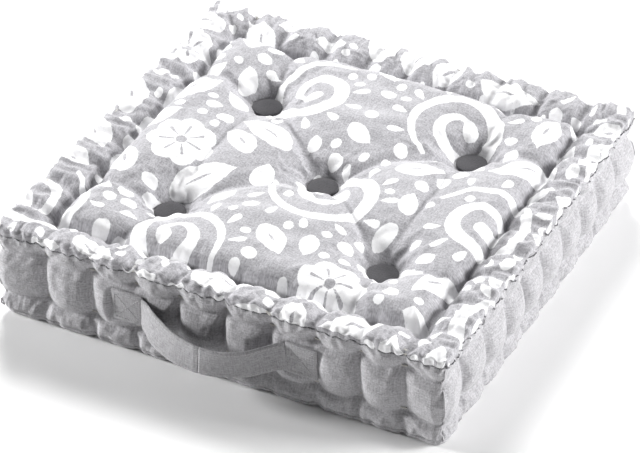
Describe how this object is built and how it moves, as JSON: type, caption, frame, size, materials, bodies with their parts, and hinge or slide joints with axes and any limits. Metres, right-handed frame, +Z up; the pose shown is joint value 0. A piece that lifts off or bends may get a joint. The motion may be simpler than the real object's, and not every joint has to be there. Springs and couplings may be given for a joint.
{
  "type": "floor cushion",
  "caption": "Square box floor cushion with a rolled, gathered top edge, stitched padded sides, buttoned tufts in a quincunx and a strap handle on one side.",
  "frame": {"origin": "middle of the box round the whole cushion, strap included, on the plane it rests on", "axes": "+Z up, +X along the side that carries the strap, the strap stands out towards -Y"},
  "size_m": [0.45, 0.4554, 0.106],
  "materials": {
    "printed_cotton": "woven cotton with a grey and off-white scrolling leaf print, matte",
    "plain_cotton": "plain grey woven cotton, matte",
    "wadding": "loose off-white fibre wadding",
    "button_cover": "dark grey felted disc",
    "tufting_twine": "waxed cotton twine",
    "sewing_thread": "grey polyester sewing thread"
  },
  "bodies": {
    "cushion": {"bottom_panel": "plain_cotton", "bottom_seam_thread": "sewing_thread", "corner_seam_thread_back_left": "sewing_thread", "corner_seam_thread_back_right": "sewing_thread", "corner_seam_thread_front_left": "sewing_thread", "corner_seam_thread_front_right": "sewing_thread", "filling": "wadding", "handle_end_left": "plain_cotton", "handle_end_right": "plain_cotton", "handle_stitch_left": "sewing_thread", "handle_stitch_right": "sewing_thread", "handle_twist_left": "plain_cotton", "handle_twist_right": "plain_cotton", "side_panel_back": "plain_cotton", "side_panel_front": "plain_cotton", "side_panel_left": "plain_cotton", "side_panel_right": "plain_cotton", "side_stitches_lower_back": "tufting_twine", "side_stitches_lower_front": "tufting_twine", "side_stitches_lower_left": "tufting_twine", "side_stitches_lower_right": "tufting_twine", "side_stitches_upper_back": "tufting_twine", "side_stitches_upper_front": "tufting_twine", "side_stitches_upper_left": "tufting_twine", "side_stitches_upper_right": "tufting_twine", "top_panel": "printed_cotton", "top_seam_thread": "sewing_thread", "tuft_button_bottom_back_left": "button_cover", "tuft_button_bottom_back_right": "button_cover", "tuft_button_bottom_centre": "button_cover", "tuft_button_bottom_front_left": "button_cover", "tuft_button_bottom_front_right": "button_cover", "tuft_button_top_back_left": "button_cover", "tuft_button_top_back_right": "button_cover", "tuft_button_top_centre": "button_cover", "tuft_button_top_front_left": "button_cover", "tuft_button_top_front_right": "button_cover", "tuft_twine_back_left": "tufting_twine", "tuft_twine_back_right": "tufting_twine", "tuft_twine_centre": "tufting_twine", "tuft_twine_front_left": "tufting_twine", "tuft_twine_front_right": "tufting_twine"},
    "handle": {"handle_strap": "plain_cotton"}
  },
  "joints": [
    {"name": "handle_swing", "type": "hinge", "parent": "cushion", "child": "handle", "pos_m": [0, -0.1987, 0.0565], "axis": [-1, 0, 0], "range_deg": [0, 80], "deforming": ["handle_twist_left", "handle_twist_right"]}
  ]
}
